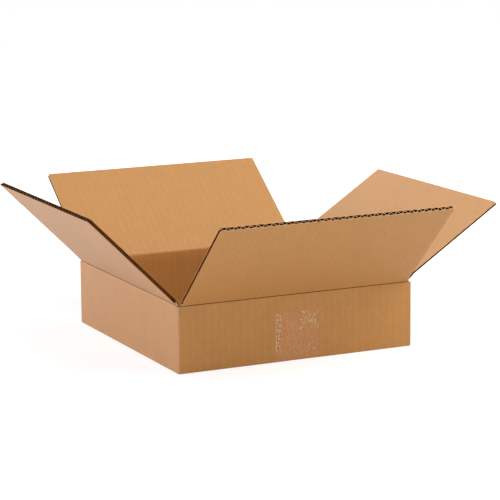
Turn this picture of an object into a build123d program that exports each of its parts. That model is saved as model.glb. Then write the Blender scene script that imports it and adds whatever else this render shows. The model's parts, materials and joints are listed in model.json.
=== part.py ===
"""A low shipping carton of single-wall corrugated board, standing open with its four top flaps spread.

One sheet is folded into four walls, a glued tab and a closed double bottom, and a strip of clear tape
holds the bottom seam. Each top flap is the same sheet beyond a crease, and swings on that crease.
X runs to the right along the front wall, Y to the back and Z up, from the middle of the underside.
"""

import os
from math import atan2, cos, degrees, radians, sin, tan

from build123d import *

# Carton, in millimetres over the outer faces
outer_width = 262.0
outer_depth = 262.0
crease_height = 68.0
corner_radius = 2.0
fold_radius = 1.5

# Corrugated board: a waved medium glued between two flat liners
board = 4.0
liner = 0.4
medium = 0.35
medium_along = 0.45
flute_pitch = 7.9
flute_crown = 1.4
crown_chamfer = 0.55

# Cuts and running gaps
seam_gap = 1.5
slot_clearance = 0.4
crease_gap = 0.4
stack_gap = 0.3
crush_band = 8.0

# Glued joint at the front right corner: the right wall's tab lies inside the end of the front wall
tab_reach = 38.0
tab_thickness = 3.0
tab_end_gap = 2.0
tab_bevel = 4.0
raw_flute_depth = 1.6

# Clear tape over the bottom seam, pressed flush into the board
tape_width = 48.0
tape_lap = 50.0
tape_thickness = 0.08

# How far each flap leans out from upright, in degrees, and the furthest that it can lean
front_flap_angle = 46.0
back_flap_angle = 53.5
left_flap_angle = 45.0
right_flap_angle = 57.0
flap_angle_limit = 120.0

# Sizes that follow
inner_width = outer_width - 2 * board
inner_depth = outer_depth - 2 * board
floor_top = 2 * board
flute_depth = board - 2 * liner - medium
setback = board + slot_clearance
end_flap_width = outer_width - 2 * setback
side_flap_width = outer_depth - 2 * setback
end_flap_reach = (outer_depth - seam_gap) / 2
side_flap_reach = (outer_width - seam_gap - board) / 2
side_hinge_height = crease_height + stack_gap + board / 2


def hinge_plane(axis_point, outward, lean):
    """Plane across a leaning flap at its hinge: X along the crease, Y to the inner liner, Z to the free edge."""
    upward = Vector(0, 0, 1)
    to_free_edge = outward * sin(radians(lean)) + upward * cos(radians(lean))
    return Plane(axis_point, x_dir=upward.cross(outward), z_dir=to_free_edge)


def side_view(hinge):
    """The same flap seen from its side edge: X to the free edge, Y to the inner liner."""
    return Plane(hinge.origin, x_dir=hinge.z_dir, z_dir=-hinge.x_dir)


def flute_channels(flap_width, outer_face):
    """Section of every channel in a flap, with half a channel open at each side edge."""
    count = round(flap_width / flute_pitch)
    pitch = flap_width / count
    flank_run = (pitch / 2 - flute_crown - medium_along) / (1 - medium / flute_depth)
    flank_angle = degrees(atan2(flute_depth, flank_run))
    with BuildSketch() as channel:
        Trapezoid(flute_crown + 2 * flank_run, flute_depth, flank_angle, align=(Align.CENTER, Align.MIN))
        chamfer(channel.vertices().group_by(Axis.Y)[-1], crown_chamfer)
    starts = [-flap_width / 2 + i * pitch for i in range(count + 1)]
    on_outer_liner = [Location((x, outer_face + liner, 0)) for x in starts]
    on_inner_liner = [Location((x + pitch / 2, outer_face + board - liner, 0), (0, 0, 180)) for x in starts[:-1]]
    with BuildSketch() as channels:
        with Locations(on_outer_liner + on_inner_liner):
            add(channel.sketch)
    return channels.sketch


def end_flap_outline():
    """Side view of a front or back flap: hinged on its outer liner, mitred so that it folds in over the wall."""
    with BuildSketch() as outline:
        with BuildLine():
            Polyline(
                (crease_gap, 0),
                (end_flap_reach, 0),
                (end_flap_reach, board),
                (crease_gap + board, board),
                close=True,
            )
        make_face()
    return outline.sketch


def side_flap_outline():
    """Side view of a left or right flap: it rolls on the middle of the board, to close on top of the others."""
    with BuildSketch() as outline:
        with BuildLine():
            Polyline((0, -board / 2), (side_flap_reach, -board / 2), (side_flap_reach, board / 2), (0, board / 2))
            CenterArc((0, 0), board / 2, 90, 180)
        make_face()
    return outline.sketch


def make_flap(label, hinge, outline, width, reach, outer_face):
    """Solid flap with its flutes open at the free edge and crushed shut beside the crease."""
    channels = flute_channels(width, outer_face)
    with BuildPart() as flap:
        with BuildSketch(side_view(hinge)):
            add(outline)
        extrude(amount=width / 2, both=True)
        with BuildSketch(hinge.offset(reach)):
            add(channels)
        extrude(amount=crush_band - reach, mode=Mode.SUBTRACT)
    flap.part.label = label
    return flap.part


def end_flap(label, outward, lean):
    """Front or back flap, on the crease along the top of its wall."""
    hinge = hinge_plane(outward * (outer_depth / 2) + Vector(0, 0, crease_height), outward, lean)
    return make_flap(label, hinge, end_flap_outline(), end_flap_width, end_flap_reach, 0)


def side_flap(label, outward, lean):
    """Left or right flap, on a crease one board higher in its wall than the closed end flaps lie."""
    axis_point = outward * (outer_width / 2 - board / 2) + Vector(0, 0, side_hinge_height)
    hinge = hinge_plane(axis_point, outward, lean)
    return make_flap(label, hinge, side_flap_outline(), side_flap_width, side_flap_reach, -board / 2)


def bottom_tape_band(width):
    """Tape up the front wall, under the seam and up the back wall, cut to a width."""
    with BuildPart() as band:
        with BuildSketch(Plane.YZ):
            with BuildLine() as path:
                FilletPolyline(
                    (-outer_depth / 2, tape_lap),
                    (-outer_depth / 2, 0),
                    (outer_depth / 2, 0),
                    (outer_depth / 2, tape_lap),
                    radius=fold_radius,
                )
                offset(amount=tape_thickness, side=Side.LEFT)
            make_face()
        extrude(amount=width / 2, both=True)
    return band.part


tape_band = bottom_tape_band(tape_width)

with BuildPart() as bottom_tape:
    add(tape_band)

with BuildPart() as box_body:
    # Folded shell, open at the top, rounded where the board folds and square where its cut end meets the tab
    with BuildSketch() as footprint:
        Rectangle(outer_width, outer_depth)
        cut_end = footprint.vertices().group_by(Axis.X)[-1].sort_by(Axis.Y)[0]
        fillet(footprint.vertices().filter_by(lambda corner: corner != cut_end), corner_radius)
    extrude(amount=crease_height)
    fillet(box_body.faces().sort_by(Axis.Z)[0].edges(), fold_radius)
    with BuildSketch(Plane.XY.offset(floor_top)):
        Rectangle(inner_width, inner_depth)
    extrude(amount=crease_height, mode=Mode.SUBTRACT)

    # Mitres in the front and back walls, where their flaps fold in
    with BuildSketch(Plane.YZ) as mitres:
        with BuildLine():
            Polyline(
                (outer_depth / 2, crease_height),
                (outer_depth / 2 - board, crease_height),
                (outer_depth / 2 - board, crease_height - board),
                close=True,
            )
        make_face()
        mirror(about=Plane.YZ)
    extrude(amount=inner_width / 2, both=True, mode=Mode.SUBTRACT)

    # Crushed creases in the side walls, which let their flaps lean out past level
    past_level = radians(flap_angle_limit - 90)
    relief_run = board / 2 + (board / 2 + stack_gap) * (1 - cos(past_level)) / sin(past_level)
    relief_drop = relief_run * tan(past_level)
    with BuildSketch(Plane.XZ) as reliefs:
        with BuildLine():
            Polyline(
                (outer_width / 2, crease_height),
                (outer_width / 2 - relief_run, crease_height),
                (outer_width / 2, crease_height - relief_drop),
                close=True,
            )
        make_face()
        mirror(about=Plane.YZ)
    extrude(amount=inner_depth / 2, both=True, mode=Mode.SUBTRACT)

    # Seam and end gaps of the bottom flaps: the inner pair meets along X, the outer pair along Y
    with BuildSketch(Plane.XY.offset(board)):
        Rectangle(inner_width, seam_gap)
        with Locations((inner_width / 2, 0), (-inner_width / 2, 0)):
            Rectangle(2 * slot_clearance, inner_depth)
    extrude(amount=board, mode=Mode.SUBTRACT)
    with BuildSketch():
        Rectangle(seam_gap, inner_depth)
        with Locations((0, inner_depth / 2), (0, -inner_depth / 2)):
            Rectangle(inner_width, 2 * slot_clearance)
    extrude(amount=board, mode=Mode.SUBTRACT)

    # Glued tab, bevelled at both ends, from the right wall onto the inside of the front wall
    with BuildSketch(Plane.XZ.offset(inner_depth / 2)):
        with BuildLine():
            Polyline(
                (inner_width / 2, floor_top + tab_end_gap),
                (outer_width / 2 - tab_reach, floor_top + tab_end_gap + tab_bevel),
                (outer_width / 2 - tab_reach, crease_height - board - tab_end_gap - tab_bevel),
                (inner_width / 2, crease_height - board - tab_end_gap),
                close=True,
            )
        make_face()
    extrude(amount=-tab_thickness)

    # Fold between the right wall and its tab, against the inner liner of the front wall
    fold_centre = (outer_width / 2 - corner_radius, -inner_depth / 2 + corner_radius)
    with BuildSketch():
        with BuildLine():
            CenterArc(fold_centre, corner_radius, -90, 90)
            Polyline(
                (outer_width / 2, -inner_depth / 2 + corner_radius),
                (outer_width / 2, -inner_depth / 2),
                (outer_width / 2 - corner_radius, -inner_depth / 2),
            )
        make_face()
    extrude(amount=crease_height, mode=Mode.SUBTRACT)

    # Open flute along the front wall's cut end
    with BuildSketch(Plane.XY.offset(floor_top)):
        with Locations((outer_width / 2, -(outer_depth - board) / 2)):
            Rectangle(2 * raw_flute_depth, board - 2 * liner)
    extrude(amount=crease_height - floor_top, mode=Mode.SUBTRACT)

    # Bed of the tape
    add(tape_band, mode=Mode.SUBTRACT)

bottom_tape.part.label = "bottom_tape"
box_body.part.label = "box_body"
front_flap = end_flap("front_flap", Vector(0, -1, 0), front_flap_angle)
back_flap = end_flap("back_flap", Vector(0, 1, 0), back_flap_angle)
left_flap = side_flap("left_flap", Vector(-1, 0, 0), left_flap_angle)
right_flap = side_flap("right_flap", Vector(1, 0, 0), right_flap_angle)

os.makedirs("parts", exist_ok=True)
export_step(box_body.part, "parts/box_body.step")
export_step(bottom_tape.part, "parts/bottom_tape.step")
export_step(front_flap, "parts/front_flap.step")
export_step(back_flap, "parts/back_flap.step")
export_step(left_flap, "parts/left_flap.step")
export_step(right_flap, "parts/right_flap.step")
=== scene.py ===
"""Looks of the open corrugated carton: kraft board, fluted edges, creases with painted shade and
clear tape.
"""

import json
import math
import random

import bpy
from mathutils import Matrix, Vector


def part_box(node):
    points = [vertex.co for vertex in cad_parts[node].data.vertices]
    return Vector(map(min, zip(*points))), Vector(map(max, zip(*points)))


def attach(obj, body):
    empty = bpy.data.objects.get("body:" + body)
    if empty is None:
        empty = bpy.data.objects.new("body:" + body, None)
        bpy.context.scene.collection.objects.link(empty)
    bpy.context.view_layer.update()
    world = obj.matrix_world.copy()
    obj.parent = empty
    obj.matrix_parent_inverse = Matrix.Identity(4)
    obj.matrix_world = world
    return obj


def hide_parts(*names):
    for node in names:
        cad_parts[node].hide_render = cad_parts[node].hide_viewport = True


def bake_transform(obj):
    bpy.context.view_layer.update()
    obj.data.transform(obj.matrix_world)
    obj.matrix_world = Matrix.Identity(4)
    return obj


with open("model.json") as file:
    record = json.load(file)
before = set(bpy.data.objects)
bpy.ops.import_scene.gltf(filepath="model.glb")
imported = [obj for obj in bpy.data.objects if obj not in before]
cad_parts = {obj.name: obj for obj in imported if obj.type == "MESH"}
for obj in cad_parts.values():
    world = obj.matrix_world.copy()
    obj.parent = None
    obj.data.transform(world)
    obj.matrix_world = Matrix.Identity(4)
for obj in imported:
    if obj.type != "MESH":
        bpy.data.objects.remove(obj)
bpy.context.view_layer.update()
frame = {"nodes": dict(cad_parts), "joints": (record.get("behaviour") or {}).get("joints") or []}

MM = 0.001
UP = Vector((0, 0, 1))
HALF_WIDTH, HALF_DEPTH, BODY_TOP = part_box("box_body")[1]

# Camera, from the carton's straight edges in the photograph
CAMERA_AZIMUTH = math.radians(-25.60)
CAMERA_ELEVATION = math.radians(11.02)
CAMERA_ROLL = math.radians(-0.50)
CAMERA_DISTANCE = 2.272
CAMERA_TARGET = Vector((-5.2, -33.6, 96.8)) * MM
CAMERA_LENS = 157.54
CAMERA_SENSOR = 36
CAMERA_REACH = 20

# Corrugated board
BOARD = 4 * MM
LINER = 0.34 * MM
MEDIUM = 0.5 * MM
FLUTE_PITCH = 7.9 * MM
CRUSH_BAND = 9 * MM

# How far the liners sink between the glue lines, and over what run that comes in
WASHBOARD = 0.05 * MM
WASHBOARD_RUN = 6 * MM

# The medium's wave: its height, and how far its crests are flattened against the liners
WAVE_HEIGHT = 1.14
WAVE_FLATNESS = 0.14

# Where the side cuts cross a flute near the crease, as a share of it, and what run that fades over
CUT_PHASE = {
    "front": (0.45, (6 * MM, 24 * MM)),
    "back": (0.3, (20 * MM, 90 * MM)),
    "left": (0.27, None),
    "right": (0.06, None),
}

# How far the slotting knives pressed the board at the side cuts, and over what run
SIDE_PRESS = {"front": 0.5 * MM, "back": 0.5 * MM, "left": 0.3 * MM, "right": 1.3 * MM}
PRESS_RUN = 7 * MM

# The most that half the medium may measure where a side cut slants through it
SLANTED_HALF = 0.7 * MEDIUM

# Uneven cut at the free edge: fray of the liners, drift and recess of the flutes, and its run
FRAY = 0.12 * MM
FLUTE_DRIFT = 0.07
FLUTE_RECESS = 0.3 * MM
FREE_EDGE_RUN = 8 * MM

# Wear at the free corners: the radius at each end along the crease
CORNER_WEAR = 1.0 * MM
CORNER_WEAR_SPREAD = (0.6, 1.4)
SCUFFED_CORNER = 2.6 * MM

# Creases, with the degrees from an upright flap to a closed one
CLOSED_ANGLE = 90
INNER_BEND = 2.0 * MM
OUTER_BEND = 0.9 * MM
CORE_BEND = 1.5 * MM
CORE_DEPTH = 0.55 * MM
CORE_THICKNESS = 1.9 * MM
SCALLOP = 0.18 * MM
ROLL_RUN = 3.5 * MM
ROLL_DIP = 0.25 * MM
ROLL_INNER_START = 3.0 * MM
MITRE_INNER_START = 6.0 * MM
MEDIUM_START = 2.4 * MM
RELIEF_DROP = 1.5 * MM
# Rows on each side of a rolled crease's middle that get a painted shadow line
CREASE_SHADOW_STEPS = 2

# Groove of a scored crease, and its points as shares of its depth and its run
GROOVE = 0.8 * MM
GROOVE_RUN = 1.3 * MM
GROOVE_WALL = 0.8
GROOVE_FLOOR = 0.25
GROOVE_RISE_RUN = 0.75
GROOVE_RISE_DEPTH = 0.45

# Fineness of the meshes, in steps to each flute and round each bend
LINER_STEPS = 8
MEDIUM_STEPS = 16
FOLD_STEPS = 4
BEND_STEPS = 8

# Edges that turn by more are sharp, and points of a path that lie closer are one
SHARP_ANGLE = math.radians(38)
SAME_POINT = 0.05 * MM

# Rows of points: beyond the sheet's start, beyond the crease, back from the free edge, and how many
# even spans there are between
LINER_ROWS = ((0.0, 2 * MM, 6 * MM), (20 * MM, 40 * MM), (6 * MM, 0.0), 3)
MEDIUM_ROWS = (
    (0.0, 2 * MM, 4 * MM, 6.5 * MM, 10 * MM, 14 * MM),
    (20 * MM,),
    (14 * MM, 6 * MM, 2 * MM, 0.15 * MM),
    6,
)

# Third part of each layer's place on the sheet, which sets its fibres and mottle apart
LAYER_MARKS = {
    "outer_liner": 0.0,
    "inner_liner": 1.0,
    "medium": 2.0,
    "inner_fold": 10.0,
    "outer_fold": 10.0,
    "crushed_flutes": 14.0,
}

# Colours
WHITE = (1, 1, 1, 1)
KRAFT = (0.50, 0.230, 0.054, 1)
KRAFT_EDGE = (0.72, 0.42, 0.20, 1)
SCUFFED_HIGHLIT_KRAFT = (0.66, 0.38, 0.20, 1)
# Cut edge darkened with painted shade, for edges that face away from the light
SHADED_EDGE = (0.30, 0.15, 0.065, 1)
CREASE_SHADOW_LINE = (0.20, 0.08, 0.03, 1)
# Medium: its own darker brown, deepened to near black as painted shade of the flute voids
MEDIUM_AND_VOID_SHADE = (0.055, 0.014, 0.003, 1)
MEDIUM_CUT = (0.17, 0.045, 0.012, 1)
# Painted shade on the liners' faces inside the flutes
FLUTE_SHADE = (0.045, 0.010, 0.002, 1)
# Less dark painted shade inside the flutes beside the side cuts
SIDE_SHADE = (0.11, 0.024, 0.005, 1)
PALE_FIBRE = (0.66, 0.38, 0.17, 1)
DARK_FIBRE = (0.20, 0.08, 0.02, 1)
SPECK = (0.10, 0.035, 0.012, 1)
TAPE_CLEAR = (0.95, 0.48, 0.24, 1)
TAPE_BUBBLE = (1.0, 0.72, 0.40, 1)
TAPE_PIT = (0.30, 0.12, 0.065, 1)

# Noises, each with its scale, detail and roughness, and the middle part of their range
CLOUDS = (55, 3.0, 0.6)
MOTTLE = (240, 3.0, 0.65)
GRAIN = (1500, 2.0, 0.5)
STRETCHED_FIBRES = (1.0, 1.0, 0.5)
TORN_FIBRES = (1800, 3.0, 0.7)
TORN_PATCHES = (130, 2.0, 0.5)
RAGGED_EDGES = (150, 3.0, 0.5)
AIR_BUBBLES = (420, 2.0, 0.7)
AIR_PITS = (540, 1.0, 0.5)
NOISE_RANGE = (0.3, 0.7)

# Kraft liner
CLOUD_CONTRAST = 0.03
MOTTLE_CONTRAST = 0.035
GRAIN_CONTRAST = 0.05
# Band around the crease that gets painted shade
CREASE_SHADE_BAND = (0.2 * MM, 0.9 * MM)
PALE_FIBRE_STRETCH = (260, 1500, 1500)
PALE_FIBRE_CUT = (0.62, 0.72)
PALE_FIBRE_SHARE = 0.22
DARK_FIBRE_STRETCH = (1400, 300, 1400)
DARK_FIBRE_CUT = (0.66, 0.76)
DARK_FIBRE_SHARE = 0.35
SPECK_CELLS = 70.0
SPECK_RIM = (0.02, 0.035)
SPECK_SHARE = 0.7
CELLS_WITHOUT_SPECK = 0.8
FLUTE_RELIEF = -0.5
MOTTLE_RELIEF = 3.0
FIBRE_RELIEF = 0.6
BOARD_BUMP = 0.6
BOARD_ROUGHNESS = 0.55
BOARD_SPECULAR = 0.5
SHEEN = 0.15
SHEEN_ROUGHNESS = 0.35

# Shade within the carton, and the run below the crease over which it comes in
INSIDE_SHADE = 0.84
INSIDE_FADE = 11 * MM

# Walls: what counts as looking along an axis or inward, scuffed corner folds with a painted
# highlight, and cut board at the raw ends
SQUARELY = 0.7
INWARD = -0.001
CORNER_FOLD = (0.05, 0.45)
CORNER_SCUFF_AND_HIGHLIGHT = 0.45
RIM_BAND = 0.3 * MM
RAW_END = 1.8 * MM
RAW_END_FACE = 0.1 * MM
SKIN_FACING = -0.5
WALL_TOLERANCE = 0.05 * MM
CORE_FADE = 0.2 * MM
CUT_ROUGHNESS = 0.95

# Torn and cut paper, and how far from a flap's middle the painted shade in the flutes turns less
# dark, beside the side cuts
TORN_ROUGHNESS = 0.9
TORN_BUMP = 0.7
TORN_RELIEF = 0.1 * MM
SIDE_SHADE_START = 123 * MM

# Paper of each flap's cuts: at the liners' sides, at the free edge and at the medium's sides; the
# darker edge paper on the back and left flaps is painted shade
CUT_PAPERS = {
    "front": ("cut_edge", "cut_edge", "medium_cut"),
    "back": ("cut_edge", "shaded_edge", "cut_edge"),
    "left": ("shaded_edge", "shaded_edge", "medium_cut"),
    "right": ("cut_edge", "cut_edge", "cut_edge"),
}

# Clear tape
TAPE_THICKNESS = 0.08 * MM
TAPE_FOLD = 1.5 * MM
TAPE_ROUGHNESS = 0.22
TAPE_BUMP = 0.4

# Air under the tape: from and to across the front, from and to in height, and strength
TAPE_PATCHES = (
    (-26 * MM, -16 * MM, 9 * MM, 55 * MM, 1.0),
    (0 * MM, 26 * MM, 30 * MM, 55 * MM, 0.9),
    (7 * MM, 26 * MM, 6 * MM, 20 * MM, 0.8),
    (-12 * MM, 3 * MM, 8 * MM, 24 * MM, 0.45),
)
TAPE_STREAK = (-9 * MM, -4.5 * MM, 28 * MM, 44 * MM, 0.8)
TAPE_RIM = (-25 * MM, -22.7 * MM, 12 * MM, 52 * MM, 1.0)
TAPE_PLAIN = 0.2
PATCH_SOFTNESS = 3 * MM
STREAK_SOFTNESS = 2 * MM
RIM_SOFTNESS = 0.8 * MM
PATCH_DRIFT = 4.5 * MM
BUBBLE_CUT = (0.49, 0.55)
PIT_CUT = (0.60, 0.65)

# How much the tape veils the board: everywhere, and more at bubbles, streaks and pits
VEIL = 0.20
BUBBLE_VEIL = 0.35
STREAK_VEIL = 0.12
PIT_VEIL = 0.22

# Stage, with each lamp's place, size, power and colour
LIGHT_WORLD = 0.1
PLAIN_LIGHT = (1, 1, 1)
COOL_LIGHT = (0.95, 0.97, 1.2)
LAMPS = {
    "left": ((-2.0, -0.2, 0.45), 1.2, 10.0, PLAIN_LIGHT),
    "right": ((1.3, -0.8, 1.7), 1.6, 37.0, PLAIN_LIGHT),
    "top": ((0.0, -0.2, 2.0), 1.2, 13.0, PLAIN_LIGHT),
    "front": ((-0.3, -2.0, 0.3), 1.2, 11.5, PLAIN_LIGHT),
    "back_left": ((-1.6, 2.0, 0.5), 2.0, 53.0, COOL_LIGHT),
    "back": ((0.2, 2.3, 1.2), 2.0, 13.0, PLAIN_LIGHT),
}
LAMP_AIM = Vector((0, 0, 0.08))
FLOOR_SIZE = 6.0
FLOOR_DROP = 0.2 * MM
FLOOR_WHITE = 0.85
FLOOR_GLOW = 0.8
FLOOR_SHADOW = 0.35
SHADOW_REACH = (0.3, 0.7)

# The Mix node's sockets go by number, because it has more than one of each name
MIX_FACTOR = 0
MIX_COLOUR = 6
MIX_OTHER = 7
MIX_RESULT = 2

# A slab's materials, by their place in its list
TOP, BOTTOM, SIDES, FAR_END = range(4)


# Nodes


class Nodes:
    """Short way to build the node tree of a material or the world."""

    def __init__(self, tree):
        self.tree = tree
        tree.nodes.clear()

    def add(self, kind, inputs=None, **settings):
        """A node with its settings, and its inputs set to values or linked to other nodes."""
        node = self.tree.nodes.new(kind)
        for name, value in settings.items():
            setattr(node, name, value)
        for name, value in (inputs or {}).items():
            if isinstance(value, bpy.types.NodeSocket):
                self.tree.links.new(value, node.inputs[name])
            else:
                node.inputs[name].default_value = value
        return node

    def math(self, operation, first, second=0.0, third=0.0):
        node = self.add("ShaderNodeMath", {0: first, 1: second, 2: third}, operation=operation)
        return node.outputs[0]

    def chain(self, operation, *values):
        """One operation over two or more values in turn."""
        result, *others = values
        for value in others:
            result = self.math(operation, result, value)
        return result

    def noise(self, vector, scale, detail, roughness):
        inputs = {"Vector": vector, "Scale": scale, "Detail": detail, "Roughness": roughness}
        return self.add("ShaderNodeTexNoise", inputs).outputs["Fac"]

    def stretch(self, vector, scale):
        return self.add("ShaderNodeMapping", {"Vector": vector, "Scale": scale}).outputs["Vector"]

    def spread(self, value, low, high, to_low, to_high, smooth=False):
        """The value, carried from one range to another and kept within it."""
        inputs = {
            "Value": value,
            "From Min": low,
            "From Max": high,
            "To Min": to_low,
            "To Max": to_high,
        }
        kind = "SMOOTHSTEP" if smooth else "LINEAR"
        return self.add("ShaderNodeMapRange", inputs, interpolation_type=kind).outputs["Result"]

    def uneven(self, vector, noise, contrast):
        """Noise as a factor that lightens and darkens by a contrast."""
        value = self.noise(vector, *noise)
        return self.spread(value, *NOISE_RANGE, 1.0 - contrast, 1.0 + contrast)

    def tint(self, colour, factor, other, blend="MIX"):
        """The colour, with another one mixed in by a factor."""
        inputs = {MIX_FACTOR: factor, MIX_COLOUR: colour, MIX_OTHER: other}
        settings = {"data_type": "RGBA", "blend_type": blend, "clamp_factor": False}
        return self.add("ShaderNodeMix", inputs, **settings).outputs[MIX_RESULT]

    def scale_colour(self, colour, factor):
        """The colour times a grey factor."""
        inputs = {"Red": factor, "Green": factor, "Blue": factor}
        grey = self.add("ShaderNodeCombineColor", inputs)
        return self.tint(colour, 1.0, grey.outputs["Color"], "MULTIPLY")

    def surface(self, inputs, height, strength, distance):
        """Principled surface with a bump, as the material's output."""
        relief = {"Strength": strength, "Distance": distance, "Height": height}
        bump = self.add("ShaderNodeBump", relief)
        inputs = {**inputs, "Normal": bump.outputs["Normal"]}
        shader = self.add("ShaderNodeBsdfPrincipled", inputs)
        self.add("ShaderNodeOutputMaterial", {"Surface": shader.outputs["BSDF"]})

    def shown(self):
        """1 where the camera sees this, also in a reflection, and 0 where it only gives light."""
        path = self.add("ShaderNodeLightPath").outputs
        rays = ("Is Camera Ray", "Is Glossy Ray", "Is Transmission Ray")
        return self.chain("MAXIMUM", *(path[ray] for ray in rays))


def new_material(name):
    material = bpy.data.materials.new(name)
    material.use_nodes = True
    return material, Nodes(material.node_tree)


def new_object(name, data):
    """An object in the scene, with its data."""
    item = bpy.data.objects.new(name, data)
    bpy.context.scene.collection.objects.link(item)
    return item


# Board and paper


def object_place(nodes):
    """Object coordinates, whole and in parts, and the parts of the object-space normal."""
    coordinates = nodes.add("ShaderNodeTexCoord")
    vector = coordinates.outputs["Object"]
    parts = nodes.add("ShaderNodeSeparateXYZ", {"Vector": vector}).outputs
    facing = nodes.add("ShaderNodeSeparateXYZ", {"Vector": coordinates.outputs["Normal"]}).outputs
    return vector, parts, facing


def sheet_place(nodes):
    """Place on a flap's sheet: the whole vector, and its parts across and along the flutes."""
    vector = nodes.add("ShaderNodeAttribute", attribute_name="sheet").outputs["Vector"]
    parts = nodes.add("ShaderNodeSeparateXYZ", {"Vector": vector}).outputs
    return vector, parts["X"], parts["Y"]


def wall_places(nodes, parts, facing):
    """Distances across the flutes and from the crease, on the walls and the underside.

    The flutes run upright in the walls, and front to back in the underside.
    """
    side_wall = nodes.math("GREATER_THAN", nodes.math("ABSOLUTE", facing["X"]), SQUARELY)
    underside = nodes.math("LESS_THAN", facing["Z"], -SQUARELY)
    turned = nodes.math("MAXIMUM", side_wall, underside)
    turn = nodes.math("SUBTRACT", parts["Y"], parts["X"])
    across = nodes.math("MULTIPLY_ADD", turned, turn, parts["X"])
    return across, nodes.math("ABSOLUTE", nodes.math("SUBTRACT", parts["Z"], BODY_TOP))


def fibre_mat(nodes, place, across, from_crease, streaks, crease_shade_depth):
    """Colour and height of kraft liner: clouds, mottle, fibres, specks, the flutes behind it, and
    painted shade along the crease.
    """
    flutes = nodes.math("COSINE", nodes.math("MULTIPLY", across, 2 * math.pi / FLUTE_PITCH))
    cloud = nodes.uneven(place, CLOUDS, CLOUD_CONTRAST)
    mottle = nodes.uneven(place, MOTTLE, MOTTLE_CONTRAST)
    grain = nodes.uneven(place, GRAIN, GRAIN_CONTRAST)
    wave = nodes.math("MULTIPLY_ADD", flutes, -streaks, 1.0)
    # Painted shade: darker in a narrow band along the crease
    worn = nodes.spread(from_crease, *CREASE_SHADE_BAND, 1.0 - crease_shade_depth, 1.0, smooth=True)
    colour = nodes.scale_colour(KRAFT, nodes.chain("MULTIPLY", cloud, mottle, grain, wave, worn))

    pale = nodes.noise(nodes.stretch(place, PALE_FIBRE_STRETCH), *STRETCHED_FIBRES)
    dark = nodes.noise(nodes.stretch(place, DARK_FIBRE_STRETCH), *STRETCHED_FIBRES)
    pale_share = nodes.spread(pale, *PALE_FIBRE_CUT, 0.0, PALE_FIBRE_SHARE)
    dark_share = nodes.spread(dark, *DARK_FIBRE_CUT, 0.0, DARK_FIBRE_SHARE)
    colour = nodes.tint(colour, pale_share, PALE_FIBRE)
    colour = nodes.tint(colour, dark_share, DARK_FIBRE)

    cells = nodes.add("ShaderNodeTexVoronoi", {"Vector": place, "Scale": SPECK_CELLS}).outputs
    lot = nodes.add("ShaderNodeSeparateColor", {"Color": cells["Color"]}).outputs["Red"]
    near = nodes.spread(cells["Distance"], *SPECK_RIM, SPECK_SHARE, 0.0)
    chosen = nodes.math("GREATER_THAN", lot, CELLS_WITHOUT_SPECK)
    colour = nodes.tint(colour, nodes.math("MULTIPLY", near, chosen), SPECK)

    height = nodes.math("MULTIPLY", mottle, MOTTLE_RELIEF)
    height = nodes.math("MULTIPLY_ADD", flutes, FLUTE_RELIEF, height)
    return colour, nodes.math("ADD", height, nodes.math("MULTIPLY", pale, FIBRE_RELIEF))


def kraft_surface(nodes, colour, height, roughness=BOARD_ROUGHNESS):
    """Matt kraft with a faint sheen."""
    inputs = {
        "Base Color": colour,
        "Roughness": roughness,
        "Specular IOR Level": BOARD_SPECULAR,
        "Sheen Weight": SHEEN,
        "Sheen Roughness": SHEEN_ROUGHNESS,
    }
    nodes.surface(inputs, height, BOARD_BUMP, WASHBOARD)


def flap_kraft(name, streaks, crease_shade_depth, within=False):
    """Kraft liner of the flaps, which may be shaded below the crease, within the carton."""
    material, nodes = new_material(name)
    place, across, along = sheet_place(nodes)
    from_crease = nodes.math("ABSOLUTE", along)
    colour, height = fibre_mat(nodes, place, across, from_crease, streaks, crease_shade_depth)
    if within:
        # Painted shade within the carton, over the wall side of the inner fold
        shade = nodes.spread(along, -INSIDE_FADE, 0, INSIDE_SHADE, 1.0, smooth=True)
        colour = nodes.scale_colour(colour, shade)
    kraft_surface(nodes, colour, height)
    return material


def cut_board(nodes, parts, facing, facing_up, from_crease):
    """Where the walls show cut board, and where the core between its liners gets painted shade for
    its open flutes.
    """
    from_right = nodes.math("SUBTRACT", HALF_WIDTH, parts["X"])
    from_side = nodes.math("SUBTRACT", HALF_WIDTH, nodes.math("ABSOLUTE", parts["X"]))
    from_end = nodes.math("SUBTRACT", HALF_DEPTH, nodes.math("ABSOLUTE", parts["Y"]))
    depth = nodes.math("MINIMUM", from_side, from_end)
    core = nodes.math(
        "MULTIPLY",
        nodes.spread(depth, LINER, LINER + CORE_FADE, 0.0, 1.0),
        nodes.spread(depth, BOARD - LINER - CORE_FADE, BOARD - LINER, 1.0, 0.0),
    )
    rim = nodes.math("MULTIPLY", facing_up, nodes.math("LESS_THAN", from_crease, RIM_BAND))

    in_front_wall = nodes.math("LESS_THAN", parts["Y"], -HALF_DEPTH + BOARD + WALL_TOLERANCE)
    at_right_end = nodes.math("LESS_THAN", from_right, RAW_END)
    not_skin = nodes.math("GREATER_THAN", facing["Y"], SKIN_FACING)
    raw_end = nodes.chain("MULTIPLY", in_front_wall, at_right_end, not_skin)
    behind_cut = nodes.math("GREATER_THAN", from_right, RAW_END_FACE)

    rim_core = nodes.math("MULTIPLY", rim, core)
    end_core = nodes.math("MULTIPLY", raw_end, behind_cut)
    return nodes.math("MAXIMUM", rim, raw_end), nodes.math("MAXIMUM", rim_core, end_core)


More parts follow.
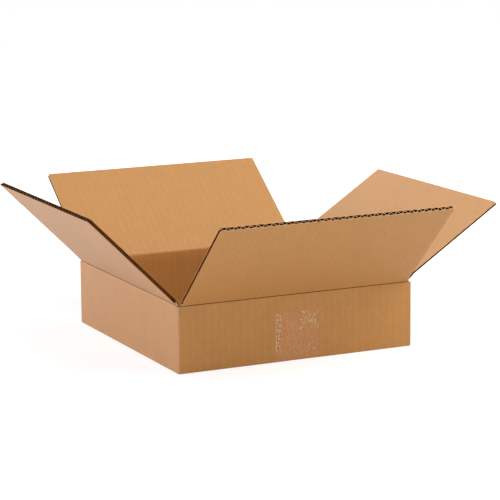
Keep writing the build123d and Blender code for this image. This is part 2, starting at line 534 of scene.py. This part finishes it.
def wall_kraft(name, streaks, crease_shade_depth):
    """Kraft liner of the walls, paler on the upright corner folds, partly scuffed and partly a
    painted highlight, darker with painted shade within the carton, with cut board at raw ends.
    """
    material, nodes = new_material(name)
    place, parts, facing = object_place(nodes)
    across, from_crease = wall_places(nodes, parts, facing)
    colour, height = fibre_mat(nodes, place, across, from_crease, streaks, crease_shade_depth)
    # The upright corner folds are paler: partly scuffed fibre, partly a painted highlight on the
    # rounded corner
    corner = nodes.math("ABSOLUTE", nodes.math("MULTIPLY", facing["X"], facing["Y"]))
    scuff_and_highlight = nodes.spread(corner, *CORNER_FOLD, 0.0, CORNER_SCUFF_AND_HIGHLIGHT, smooth=True)
    colour = nodes.tint(colour, scuff_and_highlight, SCUFFED_HIGHLIT_KRAFT)

    # Painted shade on the inward faces and the floor, coming in over a run below the crease
    outward = nodes.math("MULTIPLY", facing["X"], parts["X"])
    outward = nodes.math("MULTIPLY_ADD", facing["Y"], parts["Y"], outward)
    facing_up = nodes.math("GREATER_THAN", facing["Z"], SQUARELY)
    within = nodes.math("MAXIMUM", nodes.math("LESS_THAN", outward, INWARD), facing_up)
    painted_inside_shade = nodes.spread(from_crease, 0, INSIDE_FADE, 0.0, INSIDE_SHADE - 1, smooth=True)
    colour = nodes.scale_colour(colour, nodes.math("MULTIPLY_ADD", within, painted_inside_shade, 1.0))

    cut, dark = cut_board(nodes, parts, facing, facing_up, from_crease)
    colour = nodes.tint(colour, cut, KRAFT_EDGE)
    # Painted shade of the open flutes in the cut board's core
    colour = nodes.tint(colour, dark, FLUTE_SHADE)
    kraft_surface(nodes, colour, height, nodes.spread(cut, 0, 1, BOARD_ROUGHNESS, CUT_ROUGHNESS))
    return material


def torn_paper(name, base, contrast, gloss, lighter_by_side_cuts=False):
    """Fibrous paper that is cut or bare; painted flute shade on it may be less dark beside the side
    cuts.
    """
    material, nodes = new_material(name)
    if lighter_by_side_cuts:
        from_middle = nodes.math("ABSOLUTE", sheet_place(nodes)[1])
        at_side = nodes.math("GREATER_THAN", from_middle, SIDE_SHADE_START)
        base = nodes.tint(base, at_side, SIDE_SHADE)
    place = nodes.add("ShaderNodeTexCoord").outputs["Object"]
    fibre = nodes.uneven(place, TORN_FIBRES, contrast)
    patch = nodes.uneven(place, TORN_PATCHES, contrast)
    inputs = {
        "Base Color": nodes.scale_colour(base, nodes.math("MULTIPLY", fibre, patch)),
        "Roughness": TORN_ROUGHNESS,
        "Specular IOR Level": gloss,
    }
    nodes.surface(inputs, fibre, TORN_BUMP, TORN_RELIEF)
    return material


# Tape


def outer_skin(nodes, parts):
    """1 on the tape's outer skin and 0 on the face that lies against the board."""
    half_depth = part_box("bottom_tape")[1][1]
    past = nodes.math("SUBTRACT", nodes.math("ABSOLUTE", parts["Y"]), half_depth - TAPE_FOLD)
    past = nodes.math("MAXIMUM", past, 0.0)
    below = nodes.math("MAXIMUM", nodes.math("SUBTRACT", TAPE_FOLD, parts["Z"]), 0.0)
    past_squared = nodes.math("MULTIPLY", past, past)
    below_squared = nodes.math("MULTIPLY", below, below)
    distance = nodes.math("SQRT", nodes.math("ADD", past_squared, below_squared))
    return nodes.math("GREATER_THAN", distance, TAPE_FOLD - TAPE_THICKNESS / 2)


def soft_patch(nodes, across, height, patch, softness):
    """A patch's strength inside it, fading to nothing over a soft rim."""
    left, right, low, high, strength = patch
    share = nodes.spread(across, left, left + softness, 0.0, strength, smooth=True)
    other_sides = (
        (across, right, right - softness),
        (height, low, low + softness),
        (height, high, high - softness),
    )
    for value, start, end in other_sides:
        fade = nodes.spread(value, start, end, 0.0, 1.0, smooth=True)
        share = nodes.math("MULTIPLY", share, fade)
    return share


def tape_film(name):
    """Clear tape: a thin glossy film that pales the board a little, with fine specks of air."""
    material, nodes = new_material(name)
    place, parts, _ = object_place(nodes)
    drift = nodes.noise(place, *RAGGED_EDGES)
    drift = nodes.math("MULTIPLY_ADD", drift, 2 * PATCH_DRIFT, -PATCH_DRIFT)
    across = nodes.math("ADD", parts["X"], drift)
    height = nodes.math("ADD", parts["Z"], drift)
    share = TAPE_PLAIN
    for patch in TAPE_PATCHES:
        strength = soft_patch(nodes, across, height, patch, PATCH_SOFTNESS)
        share = nodes.math("MAXIMUM", share, strength)
    streak = soft_patch(nodes, across, height, TAPE_STREAK, STREAK_SOFTNESS)
    rim = soft_patch(nodes, parts["X"], parts["Z"], TAPE_RIM, RIM_SOFTNESS)
    streak = nodes.math("MAXIMUM", streak, rim)
    bubbles = nodes.spread(nodes.noise(place, *AIR_BUBBLES), *BUBBLE_CUT, 0.0, 1.0)
    pits = nodes.spread(nodes.noise(place, *AIR_PITS), *PIT_CUT, 0.0, 1.0)
    trapped = nodes.math("MULTIPLY", bubbles, share)
    pitted = nodes.math("MULTIPLY", pits, share)

    colour = nodes.tint(TAPE_CLEAR, nodes.math("MAXIMUM", trapped, streak), TAPE_BUBBLE)
    colour = nodes.tint(colour, pitted, TAPE_PIT)
    veil = nodes.math("MULTIPLY_ADD", trapped, BUBBLE_VEIL, VEIL)
    veil = nodes.math("MULTIPLY_ADD", streak, STREAK_VEIL, veil)
    veil = nodes.math("MULTIPLY_ADD", pitted, PIT_VEIL, veil)
    inputs = {
        "Base Color": colour,
        "Roughness": TAPE_ROUGHNESS,
        "Alpha": nodes.math("MULTIPLY", veil, outer_skin(nodes, parts)),
    }
    nodes.surface(inputs, trapped, TAPE_BUMP, TAPE_THICKNESS)
    return material


# Meshes


def slab(name, top, bottom, marks, skins, rims):
    """Closed sheet between two grids of points, with its place on the sheet kept at each point.

    The skins are the papers of the top and the bottom, the rims those of the sides and far end.
    """
    rows, columns = len(top), len(top[0])
    vertices = [p for row in top for p in row] + [p for row in bottom for p in row]
    second = rows * columns
    faces, slots = [], []
    for i in range(rows - 1):
        for j in range(columns - 1):
            a = i * columns + j
            b, c, d = a + 1, a + columns + 1, a + columns
            faces += [(a, b, c, d), (a + second, d + second, c + second, b + second)]
            slots += [TOP, BOTTOM]
    ring = list(range(columns))
    ring += [i * columns + columns - 1 for i in range(1, rows)]
    ring += [(rows - 1) * columns + j for j in range(columns - 2, -1, -1)]
    ring += [i * columns for i in range(rows - 2, 0, -1)]
    far_end = range(columns + rows - 2, 2 * columns + rows - 3)
    for k, (a, b) in enumerate(zip(ring, ring[1:] + ring[:1])):
        faces.append((b, a, a + second, b + second))
        slots.append(FAR_END if k in far_end else SIDES)
    mesh = bpy.data.meshes.new(name)
    mesh.from_pydata([tuple(v) for v in vertices], [], faces)
    sheet = mesh.attributes.new("sheet", "FLOAT_VECTOR", "POINT")
    flat = [p for row in marks for p in row]
    sheet.data.foreach_set("vector", [x for p in flat + flat for x in p])
    for material in (*skins, *rims):
        mesh.materials.append(material)
    mesh.polygons.foreach_set("material_index", slots)
    mesh.polygons.foreach_set("use_smooth", [True] * len(faces))
    if signed_volume(mesh) < 0:
        mesh.flip_normals()
    mesh.update()
    mesh.set_sharp_from_angle(angle=SHARP_ANGLE)
    return new_object(name, mesh)


def signed_volume(mesh):
    """Six times the volume inside a closed mesh, below zero if its faces look inward."""
    total = 0.0
    for polygon in mesh.polygons:
        first, *others = [mesh.vertices[i].co for i in polygon.vertices]
        total += sum(first.dot(b.cross(c)) for b, c in zip(others, others[1:]))
    return total


def evenly(low, high, steps):
    return [low + (high - low) * i / steps for i in range(steps + 1)]


def ease(value, low, high):
    """Smooth step from 0 at low to 1 at high."""
    share = min(max((value - low) / (high - low), 0.0), 1.0)
    return share * share * (3 - 2 * share)


# Flaps


class Flap:
    """Directions and sizes of one flap, read from its joint and its CAD solid."""

    def __init__(self, side):
        self.side = side
        self.node = side + "_flap"
        joint = next(j for j in frame["joints"] if j["child"] == self.node)
        self.hinge = Vector(joint["pos_m"])
        self.along_crease = Vector(joint["axis"])
        self.outward = self.along_crease.cross(UP)
        self.lean = math.radians(-CLOSED_ANGLE - joint["range_deg"][0])
        self.to_edge = self.outward * math.sin(self.lean) + UP * math.cos(self.lean)
        self.inward = self.to_edge.cross(self.along_crease)
        self.outside = (self.outward - self.inward).normalized()
        offsets = [v.co - self.hinge for v in frame["nodes"][self.node].data.vertices]
        self.half_width = max(o.dot(self.along_crease) for o in offsets)
        self.reach = max(o.dot(self.to_edge) for o in offsets)
        self.outer_face = min(o.dot(self.inward) for o in offsets)
        self.board = max(o.dot(self.inward) for o in offsets) - self.outer_face
        self.flutes = round(2 * self.half_width / FLUTE_PITCH)
        self.pitch = 2 * self.half_width / self.flutes
        self.rolls = self.outer_face < -LINER
        self.outer_start = ROLL_RUN if self.rolls else GROOVE_RUN
        self.inner_start = ROLL_INNER_START if self.rolls else MITRE_INNER_START
        self.wall_top = BODY_TOP - self.hinge.z - (0 if self.rolls else self.board)
        noise = random.Random(side + "corners")
        self.worn = {end: CORNER_WEAR * noise.uniform(*CORNER_WEAR_SPREAD) for end in (-1, 1)}
        self.press = SIDE_PRESS[side]
        if side == "front":
            self.worn[-1] = SCUFFED_CORNER

    def point(self, across, along, depth):
        """A point of the flap: across it, along it from the hinge, and in from its outer face."""
        return (
            self.hinge
            + self.along_crease * across
            + self.to_edge * along
            + self.inward * (self.outer_face + depth)
        )

    def wall_point(self, above, depth):
        """A point of the wall under the crease: above the hinge, and in from the outer face."""
        return self.hinge + UP * above - self.outward * (self.outer_face + depth)

    def corner(self, depth):
        """How far above the hinge the wall and the flap meet, at a depth in the board."""
        return (self.outer_face + depth) * math.tan(self.lean / 2)

    def columns(self, steps):
        """Places across the flap, with so many steps to each flute."""
        return evenly(-self.half_width, self.half_width, self.flutes * steps)

    def rows(self, start, beyond_start, beyond_crease, before_edge, spans):
        """Distances from the crease, close together at both ends and even in between."""
        *alone, first = beyond_crease
        last, *rest = before_edge
        rows = [start + step for step in beyond_start] + alone
        rows += evenly(first, self.reach - last, spans)
        return rows + [self.reach - step for step in rest]

    def pressed(self, across):
        """How far the outer liner is pressed in at the side cuts."""
        return self.press * (1 - ease(self.half_width - abs(across), 0.0, PRESS_RUN))

    def rounding(self, across):
        """How far the free edge is worn back beside its corners."""
        pulled = 0.0
        for end, radius in self.worn.items():
            short = radius - (self.half_width - across * end)
            if short > 0:
                pulled += radius - math.sqrt(max(radius * radius - short * short, 0.0))
        return pulled


def liner_sheet(flap, outer, skins, rims):
    """Flat liner of a flap, sinking a little between the glue lines of the flutes."""
    if outer:
        layer, start, skin_depth, sign = "outer_liner", flap.outer_start, 0.0, 1
    else:
        layer, start, skin_depth, sign = "inner_liner", flap.inner_start, flap.board, -1
    core_depth = skin_depth + sign * LINER
    noise = random.Random(flap.side + str(outer))
    across = flap.columns(LINER_STEPS)
    top, bottom, marks = [], [], []
    for along in flap.rows(start, *LINER_ROWS):
        shown = min(1.0, (along - start) / WASHBOARD_RUN)
        skin, core = [], []
        for u in across:
            cut = noise.random() * FRAY + flap.rounding(u) if along == flap.reach else 0.0
            glued = sign * math.cos(2 * math.pi * u / flap.pitch)
            sink = WASHBOARD * shown * (1 + glued) / 2
            if outer:
                sink += shown * flap.pressed(u)
            skin.append(flap.point(u, along - cut, skin_depth + sign * sink))
            core.append(flap.point(u, along - cut, core_depth + sign * sink))
        top.append(skin)
        bottom.append(core)
        marks.append([(u, along, LAYER_MARKS[layer]) for u in across])
    return slab(f"{flap.side}_{layer}", top, bottom, marks, skins, rims)


def medium_line(flap, along, across, drifts, recesses):
    """Centre line of the medium at a distance from the crease, as (across, along, depth)."""
    opened = ease(along, MEDIUM_START, CRUSH_BAND)
    phase, fade = CUT_PHASE[flap.side]
    if fade:
        phase *= 1 - ease(along, *fade)
    near_edge = max(0.0, 1 - (flap.reach - along) / FREE_EDGE_RUN)
    line = []
    for u in across:
        turn = (u + flap.half_width) / flap.pitch
        cell = int(turn)
        share = turn - cell
        drift = drifts[cell] * (1 - share) + drifts[cell + 1] * share
        recess = recesses[cell] * (1 - share) + recesses[cell + 1] * share + flap.rounding(u)
        wave = math.cos(2 * math.pi * (turn + phase + drift * near_edge))
        wave *= WAVE_HEIGHT - WAVE_FLATNESS * wave * wave
        pressed = flap.pressed(u) * opened
        room = (flap.board - pressed - 2 * LINER - MEDIUM) / 2
        depth = (flap.board + pressed) / 2 + room * opened * wave
        line.append((u, along - recess * near_edge, depth))
    return line


def medium_sheet(flap, paper, rims):
    """Fluted medium, flattened towards the crease and a little uneven where it was cut."""
    noise = random.Random(flap.side + "medium")
    across = flap.columns(MEDIUM_STEPS)
    drifts = [noise.uniform(-FLUTE_DRIFT, FLUTE_DRIFT) for _ in range(flap.flutes + 2)]
    recesses = [noise.uniform(0.0, FLUTE_RECESS) for _ in range(flap.flutes + 2)]
    top, bottom, marks = [], [], []
    for along in flap.rows(MEDIUM_START, *MEDIUM_ROWS):
        line = medium_line(flap, along, across, drifts, recesses)
        above, below = [], []
        for k, (u, v, w) in enumerate(line):
            before, after = line[max(k - 1, 0)], line[min(k + 1, len(line) - 1)]
            run, rise = after[0] - before[0], after[2] - before[2]
            length = math.hypot(run, rise)
            du, dw = rise / length * MEDIUM / 2, run / length * MEDIUM / 2
            if k in (0, len(line) - 1):
                du, dw = 0.0, min(MEDIUM / 2 * length / run, SLANTED_HALF)
            left = min(max(u - du, -flap.half_width), flap.half_width)
            right = min(max(u + du, -flap.half_width), flap.half_width)
            above.append(flap.point(right, v, w - dw))
            below.append(flap.point(left, v, w + dw))
        top.append(above)
        bottom.append(below)
        marks.append([(u, v, LAYER_MARKS["medium"]) for u, v, w in line])
    return slab(f"{flap.side}_medium", top, bottom, marks, (paper, paper), rims)


# Creases


def bend_path(flap, depth, wall_start, flap_end, radius, dip=0.0):
    """Middle line of a layer from wall to flap, with a rounded corner that may be pressed in."""
    at_corner = flap.wall_point(flap.corner(depth), depth)
    before, after = at_corner - UP * radius, at_corner + flap.to_edge * radius
    control = at_corner - flap.outside * dip
    path = [flap.wall_point(wall_start, depth), before]
    if (path[0] - before).length < SAME_POINT:
        path.pop()
    for i in range(1, BEND_STEPS):
        t = i / BEND_STEPS
        path.append(before * (1 - t) ** 2 + control * 2 * t * (1 - t) + after * t**2)
    return path + [after, flap.point(0, flap_end, depth)]


def groove_path(flap):
    """Line of the outer liner from the hinge, down into the score and out onto the flap."""
    into = -flap.outside
    return [
        flap.hinge,
        flap.hinge + into * GROOVE_WALL * GROOVE,
        flap.hinge + into * GROOVE + flap.to_edge * GROOVE_FLOOR * GROOVE_RUN,
        flap.point(0, GROOVE_RISE_RUN * GROOVE_RUN, GROOVE_RISE_DEPTH * GROOVE),
        flap.point(0, GROOVE_RUN, 0),
    ]


def fold(flap, layer, path, thickness, into, paper, edge, scallop=0.0):
    """A layer along a path over the crease, as wide as the flap, from wall to flap."""
    across = flap.columns(FOLD_STEPS)
    middle = (len(path) - 1) // 2
    lengths = [0.0]
    for a, b in zip(path, path[1:]):
        lengths.append(lengths[-1] + (b - a).length)
    top, bottom, marks = [], [], []
    for i, place in enumerate(path):
        before, after = path[max(i - 1, 0)], path[min(i + 1, len(path) - 1)]
        normal = (after - before).cross(flap.along_crease).normalized()
        if normal.dot(into) < 0:
            normal.negate()
        push = scallop * (1 - abs(i - middle) / middle)
        skin = []
        for u in across:
            wave = math.cos(2 * math.pi * u / flap.pitch)
            skin.append(place + flap.along_crease * u + normal * push * wave)
        top.append(skin)
        bottom.append([point + normal * thickness for point in skin])
        marks.append([(u, lengths[i] - lengths[middle], LAYER_MARKS[layer]) for u in across])
    piece = slab(f"{flap.side}_{layer}", top, bottom, marks, (paper, paper), (edge, edge))
    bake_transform(piece)
    return piece


def mark_score(piece, flap, rows, material):
    """Painted shadow line along a fold, darkening the groove of the crease.

    A slab's top and bottom faces come in pairs, row by row, and the line goes on the top ones.
    """
    cells = flap.flutes * FOLD_STEPS
    piece.data.materials.append(material)
    for i in rows:
        for j in range(cells):
            top_face = piece.data.polygons[2 * (i * cells + j)]
            top_face.material_index = len(piece.data.materials) - 1


def dress_flap(flap, papers):
    """Liners and medium of one flap, and the three layers that fold over its crease."""
    outside, inside = papers["kraft_outside"], papers["kraft_inside"]
    medium, core, edge = papers["medium_with_void_shade"], papers["flute_shade"], papers["cut_edge"]
    side_edge, free_edge, medium_edge = (papers[name] for name in CUT_PAPERS[flap.side])
    # The liners' faces towards the medium take flute_shade, painted shade of the flute channels,
    # and the medium's paper carries painted shade too
    rigid = (
        liner_sheet(flap, True, (outside, core), (side_edge, free_edge)),
        liner_sheet(flap, False, (inside, core), (side_edge, free_edge)),
        medium_sheet(flap, medium, (medium_edge, free_edge)),
    )
    for piece in rigid:
        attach(piece, flap.node)
        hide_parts(flap.node)
    outward, inward = flap.outside, -flap.outside
    inner = bend_path(flap, flap.board, flap.wall_top, flap.inner_start, INNER_BEND)
    fold(flap, "inner_fold", inner, LINER, outward, inside, edge, SCALLOP)
    middle_start = flap.wall_top if flap.rolls else -CORE_DEPTH
    crushed = bend_path(flap, CORE_DEPTH, middle_start, MEDIUM_START, CORE_BEND)
    fold(flap, "crushed_flutes", crushed, CORE_THICKNESS, inward, medium, edge)
    if flap.rolls:
        outer = bend_path(flap, 0, flap.wall_top - RELIEF_DROP, ROLL_RUN, OUTER_BEND, ROLL_DIP)
    else:
        outer = groove_path(flap)
    piece = fold(flap, "outer_fold", outer, LINER, inward, outside, edge)
    # The rolled creases get a painted shadow line on the middle rows of their outer fold
    if flap.rolls:
        middle = (len(outer) - 1) // 2
        scored = range(middle - CREASE_SHADOW_STEPS, middle + CREASE_SHADOW_STEPS)
        mark_score(piece, flap, scored, papers["crease_shadow_line"])


# Stage


def grey(level):
    return (level, level, level, 1)


def make_floor():
    """Pale matt floor, white to the camera, with the carton's own shadow around it."""
    half = FLOOR_SIZE / 2
    mesh = bpy.data.meshes.new("floor")
    corners = [(-half, -half), (half, -half), (half, half), (-half, half)]
    mesh.from_pydata([(x, y, -FLOOR_DROP) for x, y in corners], [], [(0, 1, 2, 3)])
    material, nodes = new_material("pale_floor")
    place = nodes.add("ShaderNodeTexCoord").outputs["Object"]
    away = nodes.add("ShaderNodeVectorMath", {0: place}, operation="LENGTH").outputs["Value"]
    glow = nodes.spread(away, *SHADOW_REACH, FLOOR_GLOW, 1.0, smooth=True)
    white = nodes.add("ShaderNodeEmission", {"Color": WHITE, "Strength": glow})
    faint = nodes.add("ShaderNodeBsdfDiffuse", {"Color": grey(FLOOR_SHADOW)})
    seen = nodes.add("ShaderNodeAddShader", {0: white.outputs[0], 1: faint.outputs[0]})
    matt = nodes.add("ShaderNodeBsdfDiffuse", {"Color": grey(FLOOR_WHITE)})
    parts = {0: nodes.shown(), 1: matt.outputs[0], 2: seen.outputs[0]}
    mixed = nodes.add("ShaderNodeMixShader", parts)
    nodes.add("ShaderNodeOutputMaterial", {"Surface": mixed.outputs[0]})
    mesh.materials.append(material)
    new_object("floor", mesh)


def light_scene():
    """Even soft light, white to the camera and in reflections, with six broad lamps."""
    world = bpy.data.worlds.new("studio")
    bpy.context.scene.world = world
    world.use_nodes = True
    nodes = Nodes(world.node_tree)
    soft = nodes.add("ShaderNodeBackground", {"Color": WHITE, "Strength": LIGHT_WORLD})
    white = nodes.add("ShaderNodeBackground", {"Color": WHITE, "Strength": 1.0})
    parts = {0: nodes.shown(), 1: soft.outputs[0], 2: white.outputs[0]}
    mixed = nodes.add("ShaderNodeMixShader", parts)
    nodes.add("ShaderNodeOutputWorld", {"Surface": mixed.outputs[0]})
    for name, (place, size, power, colour) in LAMPS.items():
        data = bpy.data.lights.new(name, "AREA")
        data.size = size
        data.energy = power
        data.color = colour
        lamp = new_object(name, data)
        lamp.location = place
        lamp.visible_camera = False
        lamp.rotation_mode = "QUATERNION"
        lamp.rotation_quaternion = (LAMP_AIM - Vector(place)).to_track_quat("-Z", "Y")


def place_camera():
    """Camera on its axis through the target, turned and rolled as the photograph was taken."""
    azimuth, elevation = CAMERA_AZIMUTH, CAMERA_ELEVATION
    level = Vector((math.cos(azimuth), math.sin(azimuth), 0))
    away = Vector((math.sin(azimuth), -math.cos(azimuth), 0))
    back = away * math.cos(elevation) + UP * math.sin(elevation)
    upright = back.cross(level)
    right = level * math.cos(CAMERA_ROLL) + upright * math.sin(CAMERA_ROLL)
    up = upright * math.cos(CAMERA_ROLL) - level * math.sin(CAMERA_ROLL)
    data = bpy.data.cameras.new("camera")
    data.sensor_width = CAMERA_SENSOR
    data.lens = CAMERA_LENS
    data.clip_end = CAMERA_REACH
    camera = new_object("camera", data)
    turn = Matrix((right, up, back)).transposed().to_4x4()
    camera.matrix_world = Matrix.Translation(CAMERA_TARGET + back * CAMERA_DISTANCE) @ turn
    bpy.context.scene.camera = camera


def set_material(node, material):
    """Gives a CAD node one new material."""
    slots = frame["nodes"][node].data.materials
    slots.clear()
    slots.append(material)


place_camera()
make_floor()
light_scene()
made = (
    torn_paper("cut_edge", KRAFT_EDGE, contrast=0.12, gloss=0.2),
    torn_paper("shaded_edge", SHADED_EDGE, contrast=0.2, gloss=0.0),
    torn_paper("crease_shadow_line", CREASE_SHADOW_LINE, contrast=0.15, gloss=0.0),
    torn_paper("medium_with_void_shade", MEDIUM_AND_VOID_SHADE, contrast=0.2, gloss=0.0, lighter_by_side_cuts=True),
    torn_paper("medium_cut", MEDIUM_CUT, contrast=0.15, gloss=0.0),
    torn_paper("flute_shade", FLUTE_SHADE, contrast=0.1, gloss=0.0, lighter_by_side_cuts=True),
    flap_kraft("kraft_outside", streaks=0.012, crease_shade_depth=0.3),
    flap_kraft("kraft_inside", streaks=0.02, crease_shade_depth=0.0, within=True),
)
papers = {paper.name: paper for paper in made}
set_material("box_body", wall_kraft("kraft_body", streaks=0.02, crease_shade_depth=0.12))
set_material("bottom_tape", tape_film("clear_tape"))
for side in ("front", "back", "left", "right"):
    dress_flap(Flap(side), papers)

bpy.context.scene.view_settings.view_transform = "Standard"
